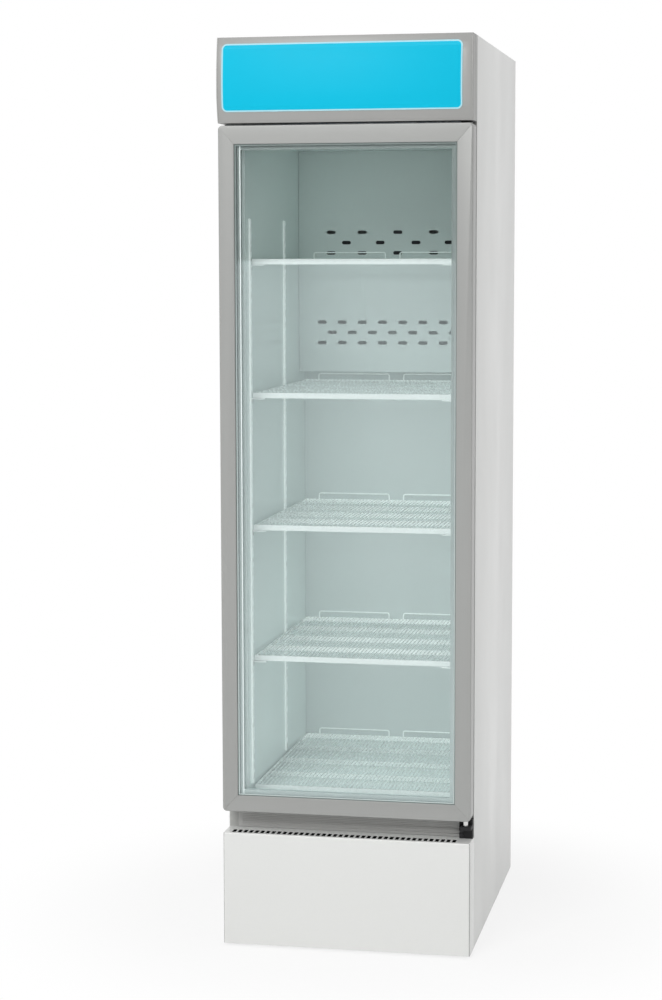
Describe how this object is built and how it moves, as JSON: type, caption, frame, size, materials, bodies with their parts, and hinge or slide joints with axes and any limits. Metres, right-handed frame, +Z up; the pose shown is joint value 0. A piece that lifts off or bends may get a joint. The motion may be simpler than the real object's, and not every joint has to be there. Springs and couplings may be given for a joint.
{
  "type": "display cooler",
  "caption": "Upright glass-door display cooler with wire shelves, lit sign canopy, slotted base panel and rear machine space.",
  "frame": {"origin": "middle of the cooler's footprint, on the floor under its feet", "axes": "+Z up, +X to the right seen from the front, +Y from the door to the back"},
  "size_m": [0.56, 0.7746, 2.018],
  "materials": {
    "casing_paint": "gloss",
    "galvanised_sheet": "satin",
    "insulation_foam": "matte",
    "liner_white": "gloss",
    "recess_grey": "satin",
    "canopy_grey": "satin",
    "sign_acrylic": "gloss",
    "lamp_white": "satin",
    "holder_plastic": "satin",
    "hinge_black": "satin",
    "pin_steel": "polished",
    "coil_aluminium": "satin",
    "black_plastic": "satin",
    "drain_plastic": "satin",
    "shelf_white": "gloss",
    "compressor_black": "gloss",
    "pipe_copper": "satin",
    "box_steel": "satin",
    "door_paint": "satin",
    "grip_grey": "satin",
    "door_glass": "gloss",
    "spacer_aluminium": "satin",
    "seal_rubber": "satin",
    "bead_plastic": "satin",
    "gasket_rubber": "satin",
    "foot_steel": "satin"
  },
  "bodies": {
    "cabinet": {"side_panel_left": "casing_paint", "side_panel_right": "casing_paint", "top_panel": "casing_paint", "lower_front_panel": "casing_paint", "back_panel": "galvanised_sheet", "rear_grille": "galvanised_sheet", "base_pan": "galvanised_sheet", "canopy_tray": "galvanised_sheet", "foam_insulation": "insulation_foam", "inner_liner": "liner_white", "duct_cover": "liner_white", "breaker_frame": "liner_white", "lower_crossmember": "recess_grey", "canopy_fascia": "canopy_grey", "canopy_end_caps": "canopy_grey", "sign_panel": "sign_acrylic", "canopy_lamp_tube": "lamp_white", "lamp_holders": "holder_plastic", "top_hinge_bracket": "hinge_black", "bottom_hinge_bracket": "hinge_black", "hinge_pins": "pin_steel", "screws": "pin_steel", "evaporator_coil": "coil_aluminium", "condenser": "coil_aluminium", "evaporator_fan_motor": "black_plastic", "power_inlet": "black_plastic", "drip_tray": "black_plastic", "evaporator_drip_pan": "drain_plastic", "drain_tube": "drain_plastic", "shelf_pilasters": "shelf_white", "shelf_clips": "shelf_white", "compressor": "compressor_black", "condenser_fan_motor": "compressor_black", "refrigerant_pipes": "pipe_copper", "control_box": "box_steel"},
    "door": {"door_stile_left": "door_paint", "door_stile_right": "door_paint", "door_rail_bottom": "door_paint", "door_rail_top": "door_paint", "outer_glass": "door_glass", "inner_glass": "door_glass", "glass_spacer": "spacer_aluminium", "glazing_seal": "seal_rubber", "glazing_bead": "bead_plastic", "door_gasket": "gasket_rubber", "door_grip": "grip_grey", "door_bushes": "drain_plastic"},
    "shelf_1": {"shelf_1": "shelf_white"},
    "shelf_2": {"shelf_2": "shelf_white"},
    "shelf_3": {"shelf_3": "shelf_white"},
    "shelf_4": {"shelf_4": "shelf_white"},
    "shelf_5": {"shelf_5": "shelf_white"},
    "evaporator_fan": {"evaporator_fan_blade": "black_plastic"},
    "condenser_fan": {"condenser_fan_blade": "compressor_black"},
    "thermostat_knob": {"thermostat_knob": "black_plastic"},
    "light_switch": {"light_switch": "black_plastic"},
    "levelling_foot_fl": {"levelling_foot_fl": "foot_steel"},
    "levelling_foot_fr": {"levelling_foot_fr": "foot_steel"},
    "levelling_foot_rl": {"levelling_foot_rl": "foot_steel"},
    "levelling_foot_rr": {"levelling_foot_rr": "foot_steel"}
  },
  "joints": [
    {"name": "door_hinge", "type": "hinge", "parent": "cabinet", "child": "door", "pos_m": [0.265, -0.34285, 1.06925], "axis": [0, 0, 1], "range_deg": [0, 110]},
    {"name": "shelf_1_lift", "type": "slide", "parent": "cabinet", "child": "shelf_1", "axis": [0, 0, 1], "range_m": [0, 0.02]},
    {"name": "shelf_2_lift", "type": "slide", "parent": "cabinet", "child": "shelf_2", "axis": [0, 0, 1], "range_m": [0, 0.005]},
    {"name": "shelf_3_lift", "type": "slide", "parent": "cabinet", "child": "shelf_3", "axis": [0, 0, 1], "range_m": [0, 0.02]},
    {"name": "shelf_4_lift", "type": "slide", "parent": "cabinet", "child": "shelf_4", "axis": [0, 0, 1], "range_m": [0, 0.02]},
    {"name": "shelf_5_lift", "type": "slide", "parent": "cabinet", "child": "shelf_5", "axis": [0, 0, 1], "range_m": [0, 0.02]},
    {"name": "evaporator_fan_spin", "type": "hinge", "parent": "cabinet", "child": "evaporator_fan", "pos_m": [0.011, 0.26465, 1.579], "axis": [0, 1, 0], "continuous": true},
    {"name": "condenser_fan_spin", "type": "hinge", "parent": "cabinet", "child": "condenser_fan", "pos_m": [-0.04, -0.21285, 0.119], "axis": [0, 1, 0], "continuous": true},
    {"name": "thermostat_turn", "type": "hinge", "parent": "cabinet", "child": "thermostat_knob", "pos_m": [0.13, 0.36915, 0.2352], "axis": [0, -1, 0], "range_deg": [0, 270]},
    {"name": "light_switch_rock", "type": "hinge", "parent": "cabinet", "child": "light_switch", "pos_m": [0.175, 0.36215, 0.2352], "axis": [1, 0, 0], "range_deg": [0, 20]},
    {"name": "foot_fl_level", "type": "slide", "parent": "cabinet", "child": "levelling_foot_fl", "axis": [0, 0, -1], "range_m": [0, 0.02]},
    {"name": "foot_fr_level", "type": "slide", "parent": "cabinet", "child": "levelling_foot_fr", "axis": [0, 0, -1], "range_m": [0, 0.02]},
    {"name": "foot_rl_level", "type": "slide", "parent": "cabinet", "child": "levelling_foot_rl", "axis": [0, 0, -1], "range_m": [0, 0.02]},
    {"name": "foot_rr_level", "type": "slide", "parent": "cabinet", "child": "levelling_foot_rr", "axis": [0, 0, -1], "range_m": [0, 0.02]}
  ]
}
